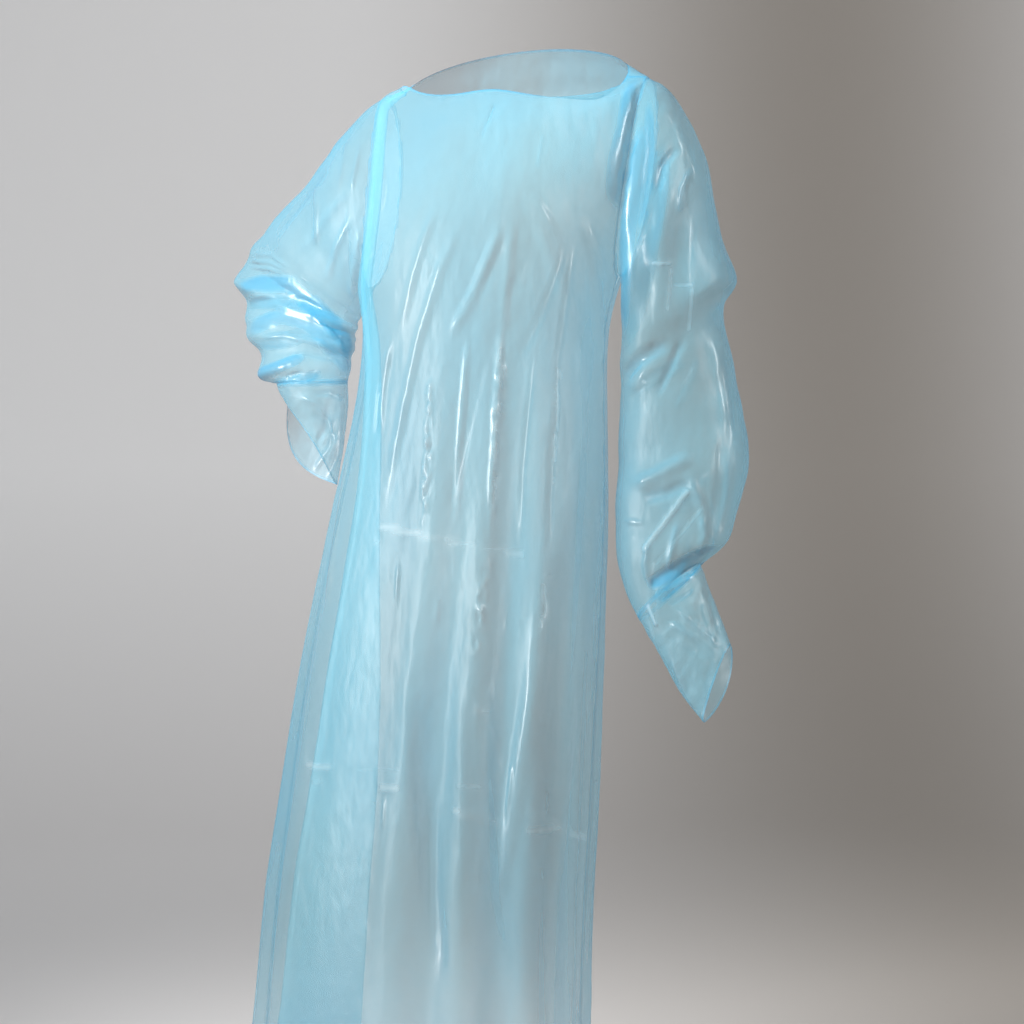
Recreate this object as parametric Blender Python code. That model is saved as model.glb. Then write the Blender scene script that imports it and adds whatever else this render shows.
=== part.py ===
"""A long protective gown of thin film, hollow and in the pose in which it is worn.

Six pieces are cut and sealed edge to edge: front, back, two sleeves and two cuffs that run over the hands.
Each piece is a thin wall on a smooth surface. The body's surface runs through rows across it, from the
neckline down to the hem. A sleeve's or cuff's surface runs through rings round the arm. Metres, +Z up. The front
faces -Y, the wearer's left is +X, and the origin lies between the shoulders, at the height of their seams.
"""

import math
from collections import namedtuple

import bmesh
import bpy
from mathutils import Vector

# Sizes of the cloth
WALL = 0.0016
SEAM_GAP = 0.0003
HEM_HEIGHT = -1.31

# Counts of rows, columns and rings
SHOULDER_ROWS = 2
ARMHOLE_ROWS = 10
SKIRT_ROWS = 18
FRONT_COLUMNS_BEFORE_LAP = 7
FRONT_COLUMNS_AFTER_LAP = 26
BACK_COLUMNS = 26
LAP_BEND_STEPS = 3
LAP_RUN_STEPS = 2

# The lap is a deep fold that lies flat on the front: three layers, this far apart
LAP_GAP = 0.006

# Hanging folds fade out this near the side seams, and grow this fast on their way to the hem
EDGE_FADE = 0.16
FOLD_GROWTH = 1.6

# Folds round an arm fade out this near a sleeve's top and its end
SLEEVE_TOP_FADE = 0.08
SLEEVE_END_FADE = 0.06

# The neck points end the neckline on the shoulder seams
RIGHT_NECK_POINT = Vector((-0.165, 0.010, 0.000))
LEFT_NECK_POINT = Vector((0.158, 0.010, 0.003))

FRONT = -1.0
BACK = 1.0

# One row for each station down the shoulder and armhole: 0 neckline, 1 shoulder tip, 2 underarm.
# A depth is how far the middle stands out from the edges, turn is how far a row turns at its edges in
# degrees, and tip is how far the outward direction tips up: 0 is level and 1 is 45 degrees.
YokeRow = namedtuple(
    "YokeRow", "station front_depth front_height back_depth back_height front_turn back_turn tip"
)
YOKE = (
    YokeRow(0.00, 0.070, -0.020, 0.078, 0.058, 90, 90, 1.6),
    YokeRow(0.50, 0.082, -0.036, 0.088, 0.040, 86, 86, 1.5),
    YokeRow(1.00, 0.092, -0.055, 0.094, 0.020, 80, 80, 1.2),
    YokeRow(1.25, 0.084, -0.108, 0.062, -0.048, 70, 66, 0.3),
    YokeRow(1.50, 0.088, -0.165, 0.038, -0.125, 66, 62, 0.1),
    YokeRow(1.75, 0.106, -0.225, 0.061, -0.202, 74, 74, 0.0),
    YokeRow(2.00, 0.140, -0.283, 0.106, -0.276, 90, 90, 0.0),
)

# One row for each height below the underarm
SkirtRow = namedtuple("SkirtRow", "height centre_x half_width side_y front_depth back_depth")
SKIRT = (
    SkirtRow(-0.270, -0.0350, 0.1840, -0.002, 0.139, 0.107),
    SkirtRow(-0.310, -0.0365, 0.1720, -0.010, 0.131, 0.112),
    SkirtRow(-0.426, -0.0415, 0.1785, -0.018, 0.124, 0.112),
    SkirtRow(-0.561, -0.0545, 0.1945, -0.024, 0.120, 0.112),
    SkirtRow(-0.696, -0.0705, 0.2075, -0.030, 0.122, 0.116),
    SkirtRow(-0.830, -0.0850, 0.2165, -0.035, 0.127, 0.122),
    SkirtRow(-0.967, -0.0970, 0.2235, -0.040, 0.133, 0.128),
    SkirtRow(-1.100, -0.1090, 0.2285, -0.045, 0.140, 0.134),
    SkirtRow(-1.310, -0.1205, 0.2345, -0.050, 0.150, 0.142),
)

# How far the neckline stands above or below its smooth curve, across from -1 (right) to 1 (left)
NeckWave = namedtuple("NeckWave", "across rise")
NECK_WAVES = (
    NeckWave(-1.00, 0.000),
    NeckWave(-0.86, -0.004),
    NeckWave(-0.70, 0.003),
    NeckWave(-0.45, -0.006),
    NeckWave(-0.25, -0.006),
    NeckWave(0.00, 0.001),
    NeckWave(0.22, -0.009),
    NeckWave(0.45, -0.018),
    NeckWave(0.64, -0.022),
    NeckWave(0.80, -0.013),
    NeckWave(1.00, 0.000),
)

# The lap's middle across the front, and how far its layers lie over each other
LapRow = namedtuple("LapRow", "height across overlap")
LAP = (
    LapRow(-1.310, -0.235, 0.120),
    LapRow(-1.100, -0.240, 0.105),
    LapRow(-0.830, -0.260, 0.078),
    LapRow(-0.561, -0.345, 0.030),
    LapRow(-0.426, -0.430, 0.022),
    LapRow(-0.300, -0.540, 0.020),
    LapRow(-0.200, -0.680, 0.020),
    LapRow(-0.100, -0.760, 0.018),
    LapRow(0.000, -0.800, 0.010),
)

# Hanging folds: each runs from its top down to the hem, a ridge where its depth is above zero
HangingFold = namedtuple("HangingFold", "top_height top_across hem_across hem_depth top_width hem_width")
FRONT_FOLDS = (
    HangingFold(-0.30, -0.86, -0.84, 0.012, 0.10, 0.12),
    HangingFold(-0.45, -0.70, -0.66, -0.010, 0.08, 0.11),
    HangingFold(-0.62, -0.60, -0.50, 0.009, 0.06, 0.10),
    HangingFold(-0.20, 0.02, 0.06, 0.011, 0.08, 0.11),
    HangingFold(-0.34, 0.10, 0.21, -0.012, 0.06, 0.10),
    HangingFold(-0.18, 0.20, 0.35, 0.013, 0.07, 0.11),
    HangingFold(-0.30, 0.32, 0.49, -0.009, 0.06, 0.10),
    HangingFold(-0.20, 0.44, 0.62, 0.012, 0.07, 0.11),
    HangingFold(-0.42, 0.62, 0.76, -0.008, 0.06, 0.09),
    HangingFold(-0.50, 0.78, 0.86, 0.008, 0.06, 0.09),
)
BACK_FOLDS = (
    HangingFold(-0.34, -0.78, -0.80, 0.011, 0.10, 0.13),
    HangingFold(-0.22, -0.52, -0.58, -0.013, 0.09, 0.12),
    HangingFold(-0.10, -0.34, -0.38, 0.016, 0.09, 0.12),
    HangingFold(-0.26, -0.14, -0.18, -0.012, 0.08, 0.11),
    HangingFold(-0.08, 0.02, 0.00, 0.014, 0.09, 0.12),
    HangingFold(-0.30, 0.18, 0.19, -0.013, 0.08, 0.11),
    HangingFold(-0.12, 0.34, 0.38, 0.017, 0.09, 0.12),
    HangingFold(-0.24, 0.52, 0.58, -0.010, 0.09, 0.12),
    HangingFold(-0.36, 0.76, 0.79, 0.012, 0.10, 0.13),
)

# Rings of a sleeve or cuff. The outer point lies on its outer edge and the inner point on the edge next to
# the body. The depths are how far the ring swells to the front and back. The reaches are how far its front and
# back lie down the arm from its plane, which slants the open end of a cuff.
Ring = namedtuple(
    "Ring",
    "place outer_x outer_y outer_z inner_x inner_y inner_z front_depth back_depth front_reach back_reach",
)
RIGHT_SLEEVE = (
    Ring(0.00, -0.1980, 0.010, -0.0050, -0.2190, 0.000, -0.2690, 0.050, 0.068, -0.009, 0),
    Ring(0.10, -0.2346, 0.020, -0.0245, -0.2290, 0.006, -0.2760, 0.058, 0.070, -0.004, 0),
    Ring(0.20, -0.2825, 0.035, -0.0694, -0.2350, 0.012, -0.2830, 0.062, 0.066, 0, 0),
    Ring(0.32, -0.3431, 0.055, -0.1211, -0.2400, 0.018, -0.2910, 0.060, 0.060, 0, 0),
    Ring(0.44, -0.4014, 0.075, -0.1710, -0.2450, 0.022, -0.2995, 0.056, 0.056, 0, 0),
    Ring(0.54, -0.4500, 0.090, -0.2052, -0.2500, 0.024, -0.3085, 0.050, 0.052, 0, 0),
    Ring(0.60, -0.4560, 0.090, -0.2251, -0.2520, 0.022, -0.3150, 0.049, 0.048, 0, 0),
    Ring(0.66, -0.4630, 0.085, -0.2490, -0.2530, 0.020, -0.3225, 0.050, 0.046, 0, 0),
    Ring(0.72, -0.4490, 0.075, -0.2748, -0.2530, 0.018, -0.3315, 0.050, 0.044, 0, 0),
    Ring(0.79, -0.4370, 0.060, -0.3044, -0.2535, 0.016, -0.3430, 0.050, 0.042, 0, 0),
    Ring(0.85, -0.4260, 0.050, -0.3263, -0.2545, 0.014, -0.3540, 0.048, 0.040, 0, 0),
    Ring(0.92, -0.4010, 0.030, -0.3631, -0.2560, 0.010, -0.3710, 0.044, 0.036, 0, 0),
    Ring(0.96, -0.3950, 0.020, -0.3880, -0.2570, 0.008, -0.3840, 0.039, 0.034, 0, 0),
    Ring(1.00, -0.3650, 0.008, -0.3980, -0.2580, 0.006, -0.3960, 0.032, 0.030, 0, 0),
)
LEFT_SLEEVE = (
    Ring(0.00, 0.1900, 0.010, 0.0020, 0.1500, 0.000, -0.2620, 0.050, 0.066, 0.009, 0),
    Ring(0.05, 0.2090, 0.012, -0.0080, 0.1540, 0.002, -0.2650, 0.053, 0.067, 0.006, 0),
    Ring(0.10, 0.2290, 0.015, -0.0260, 0.1560, 0.004, -0.2710, 0.056, 0.067, 0.003, 0),
    Ring(0.16, 0.2461, 0.018, -0.0596, 0.1565, 0.006, -0.2820, 0.058, 0.066, 0, 0),
    Ring(0.23, 0.2615, 0.021, -0.1050, 0.1560, 0.008, -0.2960, 0.059, 0.065, 0, 0),
    Ring(0.32, 0.2765, 0.027, -0.1670, 0.1545, 0.009, -0.3170, 0.059, 0.063, 0, 0),
    Ring(0.40, 0.2935, 0.033, -0.2297, 0.1525, 0.010, -0.3390, 0.058, 0.060, 0, 0),
    Ring(0.46, 0.3043, 0.036, -0.2670, 0.1510, 0.010, -0.3560, 0.057, 0.058, 0, 0),
    Ring(0.51, 0.2890, 0.036, -0.2920, 0.1500, 0.010, -0.3730, 0.055, 0.056, 0, 0),
    Ring(0.59, 0.2922, 0.038, -0.3487, 0.1490, 0.010, -0.4080, 0.054, 0.054, 0, 0),
    Ring(0.66, 0.3015, 0.038, -0.4020, 0.1485, 0.008, -0.4450, 0.054, 0.053, 0, 0),
    Ring(0.72, 0.3170, 0.034, -0.4430, 0.1485, 0.006, -0.4830, 0.054, 0.052, 0, 0),
    Ring(0.79, 0.3240, 0.028, -0.4920, 0.1490, 0.002, -0.5270, 0.053, 0.051, 0, 0),
    Ring(0.87, 0.3205, 0.018, -0.5560, 0.1500, -0.006, -0.5800, 0.049, 0.046, 0, 0),
    Ring(0.92, 0.3108, 0.010, -0.5941, 0.1530, -0.012, -0.6220, 0.044, 0.041, 0, 0),
    Ring(0.96, 0.2939, 0.002, -0.6240, 0.1640, -0.018, -0.6720, 0.038, 0.035, 0, 0),
    Ring(1.00, 0.2691, -0.004, -0.6450, 0.1895, -0.024, -0.7180, 0.031, 0.028, 0, 0),
)
RIGHT_CUFF = (
    Ring(0.00, -0.3650, 0.008, -0.3980, -0.2580, 0.006, -0.3960, 0.032, 0.030, 0, 0),
    Ring(0.30, -0.3610, 0.004, -0.4070, -0.2590, 0.010, -0.4320, 0.030, 0.029, -0.002, 0.008),
    Ring(0.65, -0.3540, 0.000, -0.4160, -0.2670, 0.015, -0.4830, 0.027, 0.027, -0.006, 0.025),
    Ring(1.00, -0.3450, -0.004, -0.4240, -0.2790, 0.020, -0.5400, 0.023, 0.024, -0.012, 0.045),
)
LEFT_CUFF = (
    Ring(0.00, 0.2691, -0.004, -0.6450, 0.1895, -0.024, -0.7180, 0.031, 0.028, 0, 0),
    Ring(0.25, 0.2794, -0.008, -0.6691, 0.2081, -0.026, -0.7458, 0.027, 0.025, 0, 0),
    Ring(0.50, 0.2953, -0.013, -0.7030, 0.2294, -0.028, -0.7783, 0.023, 0.022, 0, 0.003),
    Ring(0.78, 0.3083, -0.017, -0.7315, 0.2540, -0.029, -0.8180, 0.019, 0.019, 0, 0.006),
    Ring(1.00, 0.3167, -0.019, -0.7510, 0.2840, -0.030, -0.8530, 0.015, 0.015, 0, 0.010),
)

# Folds that run round an arm, from a place on its outer edge to a place on its inner edge
ArmFold = namedtuple("ArmFold", "outer_place inner_place depth half_width")
RIGHT_ARM_FOLDS = (
    ArmFold(0.170, 0.220, 0.004, 0.050),
    ArmFold(0.300, 0.340, -0.004, 0.050),
    ArmFold(0.420, 0.440, 0.004, 0.050),
    ArmFold(0.560, 0.600, -0.006, 0.035),
    ArmFold(0.655, 0.660, 0.010, 0.040),
    ArmFold(0.730, 0.710, -0.008, 0.035),
    ArmFold(0.790, 0.760, 0.004, 0.030),
    ArmFold(0.855, 0.830, 0.009, 0.036),
    ArmFold(0.910, 0.885, -0.007, 0.028),
    ArmFold(0.955, 0.935, 0.007, 0.026),
)
LEFT_ARM_FOLDS = (
    ArmFold(0.120, 0.160, -0.003, 0.050),
    ArmFold(0.240, 0.300, 0.005, 0.050),
    ArmFold(0.370, 0.400, -0.003, 0.040),
    ArmFold(0.460, 0.540, 0.006, 0.035),
    ArmFold(0.545, 0.600, -0.004, 0.035),
    ArmFold(0.630, 0.720, 0.004, 0.040),
    ArmFold(0.730, 0.780, -0.004, 0.040),
    ArmFold(0.820, 0.840, 0.004, 0.040),
    ArmFold(0.895, 0.890, -0.003, 0.030),
    ArmFold(0.945, 0.940, 0.006, 0.028),
)
# The folds are this much shallower on the arm's inner side
INNER_FOLD_SHARE = 0.3

# Counts of rings: each sleeve's above and below its elbow, and each cuff's
ELBOW_PLACE = 0.5
RIGHT_RINGS_ABOVE = 14
RIGHT_RINGS_BELOW = 19
LEFT_RINGS_ABOVE = 15
LEFT_RINGS_BELOW = 17
RIGHT_CUFF_RINGS = 7
LEFT_CUFF_RINGS = 9

# The front of a ring faces this way, turned square to the line between its edge points
RING_FRONT = Vector((0.0, -1.0, 0.0))

FILM_COLOUR = (0.43, 0.76, 0.86, 1.0)
FILM_ROUGHNESS = 0.22


def smooth(share):
    """An even step from 0 to 1 with soft ends."""
    share = min(1.0, max(0.0, share))
    return share * share * (3.0 - 2.0 * share)


def bump(distance, half_width):
    """1 on the middle of a fold, 0 at its sides, round in between."""
    if abs(distance) >= half_width:
        return 0.0
    return 0.5 + 0.5 * math.cos(math.pi * distance / half_width)


def slope(rows, index, column):
    """The slope of a table's column at one of its rows."""
    low = rows[max(index - 1, 0)]
    high = rows[min(index + 1, len(rows) - 1)]
    return (high[column] - low[column]) / (high[0] - low[0])


def read_table(rows, place):
    """The row at a place between a table's rows, on a smooth curve. The first column holds rising places."""
    place = min(max(place, rows[0][0]), rows[-1][0])
    index = 0
    while index < len(rows) - 2 and place > rows[index + 1][0]:
        index += 1
    low, high = rows[index], rows[index + 1]
    span = high[0] - low[0]
    t = (place - low[0]) / span
    values = [place]
    for column in range(1, len(low)):
        start_pull = (2 * t**3 - 3 * t**2 + 1) * low[column]
        end_pull = (3 * t**2 - 2 * t**3) * high[column]
        start_slope = (t**3 - 2 * t**2 + t) * span * slope(rows, index, column)
        end_slope = (t**3 - t**2) * span * slope(rows, index + 1, column)
        values.append(start_pull + end_pull + start_slope + end_slope)
    return type(low)(*values)


SKIRT_UPWARD = tuple(reversed(SKIRT))


def ring_ends(row):
    outer = Vector((row.outer_x, row.outer_y, row.outer_z))
    inner = Vector((row.inner_x, row.inner_y, row.inner_z))
    return outer, inner


def ring_point(rows, place, angle):
    """A point on a sleeve's ring: angle 0 is its outer edge, 90 degrees its front and 180 its inner edge."""
    row = read_table(rows, place)
    outer, inner = ring_ends(row)
    middle = (outer + inner) / 2.0
    axis = (outer - inner) / 2.0
    along = axis.normalized()
    front = (RING_FRONT - along * RING_FRONT.dot(along)).normalized()
    down_arm = front.cross(along) * math.copysign(1.0, -outer.x)
    swell = math.sin(angle)
    depth = row.front_depth if swell > 0 else row.back_depth
    reach = row.front_reach if swell > 0 else row.back_reach
    return middle + axis * math.cos(angle) + front * depth * swell + down_arm * reach * swell**2


def armhole_angles():
    return [math.pi * k / ARMHOLE_ROWS for k in range(ARMHOLE_ROWS + 1)]


# A row across the front or back: its two edge points, and how its middle stands out from them
BodyRow = namedtuple("BodyRow", "right left depth middle_height turn tip is_neckline")


def yoke_row(station, face, right, left):
    row = read_table(YOKE, station)
    if face == FRONT:
        turn = math.radians(row.front_turn)
        return BodyRow(right, left, row.front_depth, row.front_height, turn, row.tip, station == 0)
    return BodyRow(right, left, row.back_depth, row.back_height, math.radians(row.back_turn), row.tip, False)


def body_rows(face):
    """The rows of the front or back, from the neckline to the hem."""
    right_tip = ring_point(RIGHT_SLEEVE, 0.0, 0.0)
    left_tip = ring_point(LEFT_SLEEVE, 0.0, 0.0)
    rows = []
    for k in range(SHOULDER_ROWS):
        share = k / SHOULDER_ROWS
        right = RIGHT_NECK_POINT.lerp(right_tip, share)
        left = LEFT_NECK_POINT.lerp(left_tip, share)
        rows.append(yoke_row(share, face, right, left))
    for angle in armhole_angles():
        right = ring_point(RIGHT_SLEEVE, 0.0, -face * angle)
        left = ring_point(LEFT_SLEEVE, 0.0, -face * angle)
        rows.append(yoke_row(1.0 + angle / math.pi, face, right, left))
    underarm = rows[-1]
    for k in range(1, SKIRT_ROWS + 1):
        share = k / SKIRT_ROWS
        middle_height = underarm.middle_height + (HEM_HEIGHT - underarm.middle_height) * share
        edges = []
        for edge, side in ((underarm.right, -1.0), (underarm.left, 1.0)):
            height = edge.z + (HEM_HEIGHT - edge.z) * share
            skirt = read_table(SKIRT_UPWARD, height)
            edges.append(Vector((skirt.centre_x + side * skirt.half_width, skirt.side_y, height)))
        skirt = read_table(SKIRT_UPWARD, middle_height)
        depth = skirt.front_depth if face == FRONT else skirt.back_depth
        rows.append(BodyRow(edges[0], edges[1], depth, middle_height, math.pi / 2, 0.0, False))
    return rows


def row_point(row, face, across):
    """The point of a row at a place across it, and the direction that points out of the gown there."""
    angle = across * row.turn
    spread = math.sin(angle) / math.sin(row.turn)
    fullness = (math.cos(angle) - math.cos(row.turn)) / (1.0 - math.cos(row.turn))
    edge = row.right.lerp(row.left, (1.0 + spread) / 2.0)
    edge_height = (row.right.z + row.left.z) / 2.0
    rise = (row.middle_height - edge_height) * fullness
    point = edge + Vector((0.0, face * row.depth * fullness, rise))
    half_width = (row.left.x - row.right.x) / 2.0
    along_x = half_width * math.cos(angle) / math.sin(row.turn)
    along_y = row.depth * math.sin(angle) / (1.0 - math.cos(row.turn))
    outward = Vector((along_y, face * along_x, 0.0)).normalized() + Vector((0.0, 0.0, row.tip))
    return point, outward.normalized()


def row_length(row):
    """How long a row is across, near enough for the lap's layers."""
    half_width = (row.left.x - row.right.x) / 2.0
    return math.pi * math.sqrt((half_width**2 + row.depth**2) / 2.0)


def hanging_lift(folds, height, across):
    """How far the hanging folds lift the cloth at a height and a place across."""
    lift = 0.0
    for fold in folds:
        share = (fold.top_height - height) / (fold.top_height - HEM_HEIGHT)
        if share <= 0.0:
            continue
        middle = fold.top_across + (fold.hem_across - fold.top_across) * share
        width = fold.top_width + (fold.hem_width - fold.top_width) * share
        lift += fold.hem_depth * smooth(FOLD_GROWTH * share) * bump(across - middle, width)
    return lift * smooth((1.0 - abs(across)) / EDGE_FADE)


def lap_path(overlap):
    """The lap's points as pairs (along the row, out of it): on, round, back, round and on again."""
    half = overlap / 2.0
    radius = LAP_GAP / 2.0
    path = [(-half, 0.0)]
    path += [(half * (2.0 * k / LAP_RUN_STEPS - 1.0), 0.0) for k in range(1, LAP_RUN_STEPS)]
    for centre, side in ((half, 1.0), (-half, -1.0)):
        lowest = radius - side * radius
        for k in range(LAP_BEND_STEPS + 1):
            turn = math.pi * k / LAP_BEND_STEPS
            path.append((centre + side * radius * math.sin(turn), lowest + radius - radius * math.cos(turn)))
        if side > 0:
            path += [(half * (1.0 - 2.0 * k / LAP_RUN_STEPS), LAP_GAP) for k in range(1, LAP_RUN_STEPS)]
    path += [(half * (2.0 * k / LAP_RUN_STEPS - 1.0), 2.0 * LAP_GAP) for k in range(1, LAP_RUN_STEPS)]
    path.append((half, 2.0 * LAP_GAP))
    return path


def front_columns(row):
    """The places across a row of the front and each one's lift, through the lap."""
    lap = read_table(LAP, row.middle_height)
    length = row_length(row)
    path = [(lap.across + 2.0 * along / length, out) for along, out in lap_path(lap.overlap)]
    start, end = path[0][0], path[-1][0]
    before = [
        (-1.0 + (start + 1.0) * k / FRONT_COLUMNS_BEFORE_LAP, 0.0) for k in range(FRONT_COLUMNS_BEFORE_LAP)
    ]
    after = []
    for k in range(1, FRONT_COLUMNS_AFTER_LAP + 1):
        share = k / FRONT_COLUMNS_AFTER_LAP
        after.append((end + (1.0 - end) * share, 2.0 * LAP_GAP * (1.0 - smooth(share))))
    return before + path + after


def front_grid():
    grid = []
    for row in body_rows(FRONT):
        line = []
        for across, out in front_columns(row):
            point, outward = row_point(row, FRONT, across)
            point += outward * (out + hanging_lift(FRONT_FOLDS, row.middle_height, across))
            if row.is_neckline:
                point.z += read_table(NECK_WAVES, across).rise
            line.append(point)
        grid.append(line)
    return grid


def back_grid():
    grid = []
    for row in body_rows(BACK):
        line = []
        for k in range(BACK_COLUMNS + 1):
            across = 2.0 * k / BACK_COLUMNS - 1.0
            point, outward = row_point(row, BACK, across)
            line.append(point + outward * hanging_lift(BACK_FOLDS, row.middle_height, across))
        grid.append(line)
    return grid


def sleeve_places(rings_above, rings_below):
    """Places from 0 to 1, spaced evenly down to the elbow and evenly below it."""
    above = [ELBOW_PLACE * k / rings_above for k in range(rings_above)]
    below = [ELBOW_PLACE + (1.0 - ELBOW_PLACE) * k / rings_below for k in range(rings_below + 1)]
    return above + below


def cuff_places(rings):
    return [k / rings for k in range(rings + 1)]


def tube_grid(rings, places, folds, faces_out):
    """The rings of a sleeve or cuff from the top down, each from its outer edge round by the front."""
    count = 2 * ARMHOLE_ROWS
    angles = [2.0 * math.pi * k / count for k in range(count)]
    plain = [[ring_point(rings, place, angle) for angle in angles] for place in places]
    normals = grid_normals(plain, True)
    grid = []
    for place, line, line_normals in zip(places, plain, normals):
        end_fade = smooth(place / SLEEVE_TOP_FADE) * smooth((1.0 - place) / SLEEVE_END_FADE)
        folded = []
        for angle, point, normal in zip(angles, line, line_normals):
            outerness = 0.5 + 0.5 * math.cos(angle)
            lift = 0.0
            for fold in folds:
                middle = fold.inner_place + (fold.outer_place - fold.inner_place) * outerness
                lift += fold.depth * bump(place - middle, fold.half_width)
            strength = INNER_FOLD_SHARE + (1.0 - INNER_FOLD_SHARE) * outerness
            folded.append(point + normal * faces_out * lift * strength * end_fade)
        grid.append(folded)
    return grid


def grid_normals(grid, is_round):
    """The outward normal at each point of a grid of rows: down the rows, and across or round them."""
    rows, columns = len(grid), len(grid[0])
    normals = []
    for i in range(rows):
        line = []
        for j in range(columns):
            down = grid[min(i + 1, rows - 1)][j] - grid[max(i - 1, 0)][j]
            if is_round:
                across = grid[i][(j + 1) % columns] - grid[i][j - 1]
            else:
                across = grid[i][min(j + 1, columns - 1)] - grid[i][max(j - 1, 0)]
            line.append(across.cross(down).normalized())
        normals.append(line)
    return normals


class Piece:
    """One piece of cloth: a grid of points with the direction of its wall at each."""

    def __init__(self, name, grid, is_round, faces_out):
        self.name = name
        self.grid = grid
        self.is_round = is_round
        self.faces_out = faces_out
        self.normals = [[n * faces_out for n in line] for line in grid_normals(grid, is_round)]

    def along_seam(self, places):
        """The seam's own direction at each of its places."""
        points = [self.grid[i][j] for i, j in places]
        last = len(points) - 1
        return [(points[min(k + 1, last)] - points[max(k - 1, 0)]).normalized() for k in range(last + 1)]


def share_normals(*ends):
    """Gives the points that meet at one place of a seam the same wall direction."""
    total = Vector((0.0, 0.0, 0.0))
    for piece, (i, j) in ends:
        total += piece.normals[i][j]
    for piece, (i, j) in ends:
        piece.normals[i][j] = total.normalized()


def pull_back(piece, places, step):
    """Draws a seam's points back into their piece by half the gap. The step leads from the seam inwards."""
    directions = piece.along_seam(places)
    shifts = []
    for (i, j), direction in zip(places, directions):
        inside = piece.grid[i + step[0]][j + step[1]] - piece.grid[i][j]
        square = direction.cross(piece.normals[i][j]).normalized()
        shifts.append(square * math.copysign(SEAM_GAP / 2.0, square.dot(inside)))
    for (i, j), shift in zip(places, shifts):
        piece.grid[i][j] = piece.grid[i][j] + shift


def wall_mesh(piece):
    """A closed wall round a piece's grid, half its thickness to each side."""
    mesh = bpy.data.meshes.new(piece.name)
    bm = bmesh.new()
    sides = []
    for side in (0.5, -0.5):
        sides.append(
            [
                [bm.verts.new(point + normal * WALL * side) for point, normal in zip(line, line_normals)]
                for line, line_normals in zip(piece.grid, piece.normals)
            ]
        )
    rows, columns = len(piece.grid), len(piece.grid[0])
    spans = columns if piece.is_round else columns - 1
    outer, inner = sides
    for i in range(rows - 1):
        for j in range(spans):
            k = (j + 1) % columns
            bm.faces.new((outer[i][j], outer[i][k], outer[i + 1][k], outer[i + 1][j]))
            bm.faces.new((inner[i][j], inner[i + 1][j], inner[i + 1][k], inner[i][k]))
    for j in range(spans):
        k = (j + 1) % columns
        bm.faces.new((outer[0][k], outer[0][j], inner[0][j], inner[0][k]))
        bm.faces.new((outer[-1][j], outer[-1][k], inner[-1][k], inner[-1][j]))
    if not piece.is_round:
        for i in range(rows - 1):
            bm.faces.new((outer[i][0], outer[i + 1][0], inner[i + 1][0], inner[i][0]))
            bm.faces.new((outer[i + 1][-1], outer[i][-1], inner[i][-1], inner[i + 1][-1]))
    bmesh.ops.triangulate(bm, faces=bm.faces[:])
    bmesh.ops.recalc_face_normals(bm, faces=bm.faces[:])
    bm.to_mesh(mesh)
    bm.free()
    mesh.shade_smooth()
    return mesh


def film_material(name):
    material = bpy.data.materials.new(name + "_film")
    material.use_nodes = True
    shader = material.node_tree.nodes["Principled BSDF"]
    shader.inputs["Base Color"].default_value = FILM_COLOUR
    shader.inputs["Roughness"].default_value = FILM_ROUGHNESS
    shader.inputs["Metallic"].default_value = 0.0
    return material


def add_piece(piece):
    mesh = wall_mesh(piece)
    mesh.materials.append(film_material(piece.name))
    bpy.context.scene.collection.objects.link(bpy.data.objects.new(piece.name, mesh))


def seal_shoulders_and_sides(front, back):
    """The shoulder seams above the armholes and the side seams below them."""
    tip = SHOULDER_ROWS
    underarm = SHOULDER_ROWS + ARMHOLE_ROWS
    hem = underarm + SKIRT_ROWS
    for column, step in ((0, 1), (-1, -1)):
        for rows in (range(tip), range(underarm + 1, hem + 1)):
            for i in rows:
                share_normals((front, (i, column)), (back, (i, column)))
        for rows in (range(tip + 1), range(underarm, hem + 1)):
            for piece in (front, back):
                pull_back(piece, [(i, column) for i in rows], (0, step))


def armhole_places(column):
    """The armhole's points on the body and on the sleeve, down the front and down the back."""
    count = 2 * ARMHOLE_ROWS
    body = [(SHOULDER_ROWS + k, column) for k in range(ARMHOLE_ROWS + 1)]
    by_front = [(0, k) for k in range(ARMHOLE_ROWS + 1)]
    by_back = [(0, (count - k) % count) for k in range(ARMHOLE_ROWS + 1)]
    return body, by_front, by_back


def share_armhole(front, back, sleeve, column):
    body, by_front, by_back = armhole_places(column)
    share_normals((front, body[0]), (back, body[0]), (sleeve, by_front[0]))
    share_normals((front, body[-1]), (back, body[-1]), (sleeve, by_front[-1]))
    for k in range(1, ARMHOLE_ROWS):
        share_normals((front, body[k]), (sleeve, by_front[k]))
        share_normals((back, body[k]), (sleeve, by_back[k]))


def seal_armhole(front, back, sleeve, column, step):
    body, by_front, by_back = armhole_places(column)
    pull_back(front, body, (0, step))
    pull_back(back, body, (0, step))
    pull_back(sleeve, by_front + by_back[-2:0:-1], (1, 0))


def seal_wrist(sleeve, cuff):
    count = 2 * ARMHOLE_ROWS
    for k in range(count):
        share_normals((sleeve, (-1, k)), (cuff, (0, k)))
    pull_back(sleeve, [(len(sleeve.grid) - 1, k) for k in range(count)], (-1, 0))
    pull_back(cuff, [(0, k) for k in range(count)], (1, 0))


def tube(name, rings, places, folds, faces_out):
    return Piece(name, tube_grid(rings, places, folds, faces_out), True, faces_out)


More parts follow.
